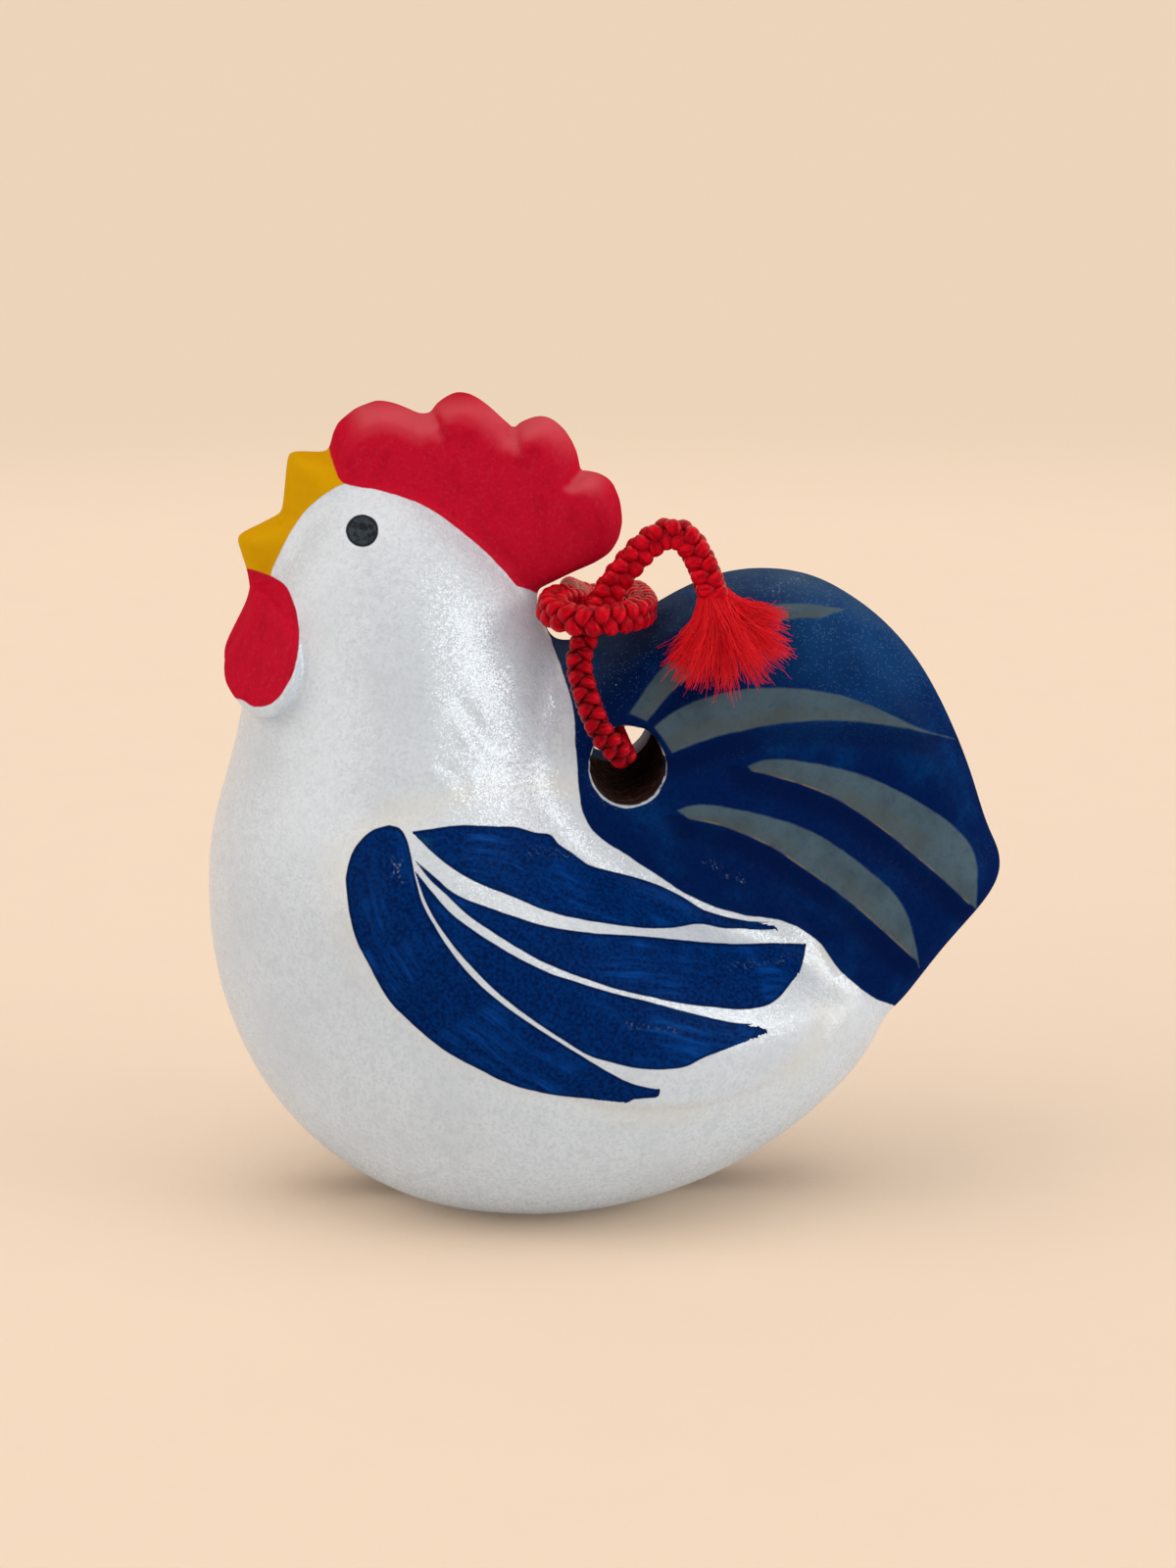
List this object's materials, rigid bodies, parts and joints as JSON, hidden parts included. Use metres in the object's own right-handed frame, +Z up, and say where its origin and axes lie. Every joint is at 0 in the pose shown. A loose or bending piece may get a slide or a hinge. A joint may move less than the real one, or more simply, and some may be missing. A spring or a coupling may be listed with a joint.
{
  "type": "clay rooster bell",
  "caption": "Hollow clay bell in the form of a rooster, with a loose clay pellet inside, a sound slit underneath and a braided cord tied through the root of its tail.",
  "frame": {"origin": "on the surface it stands on, under the middle of the rooster's box", "axes": "+Z up, the rooster faces -X and its tail points to +X, +Y across it towards its right side"},
  "size_m": [0.0653, 0.0438, 0.0662],
  "materials": {
    "painted_clay": "satin paint on low-fired clay",
    "bare_clay": "matt low-fired clay",
    "red_cord": "braided",
    "red_fray": "frayed fibres"
  },
  "bodies": {
    "bell": {"shell_left": "painted_clay", "shell_right": "painted_clay", "cord": "red_cord", "tassel_left": "red_fray", "tassel_right": "red_fray"},
    "pellet": {"clay_pellet": "bare_clay"}
  },
  "joints": [
    {"name": "pellet_roll", "type": "hinge", "parent": "bell", "child": "pellet", "pos_m": [-0.0057, 0, 0.0322], "axis": [0, 1, 0], "range_deg": [-25, 25]}
  ]
}
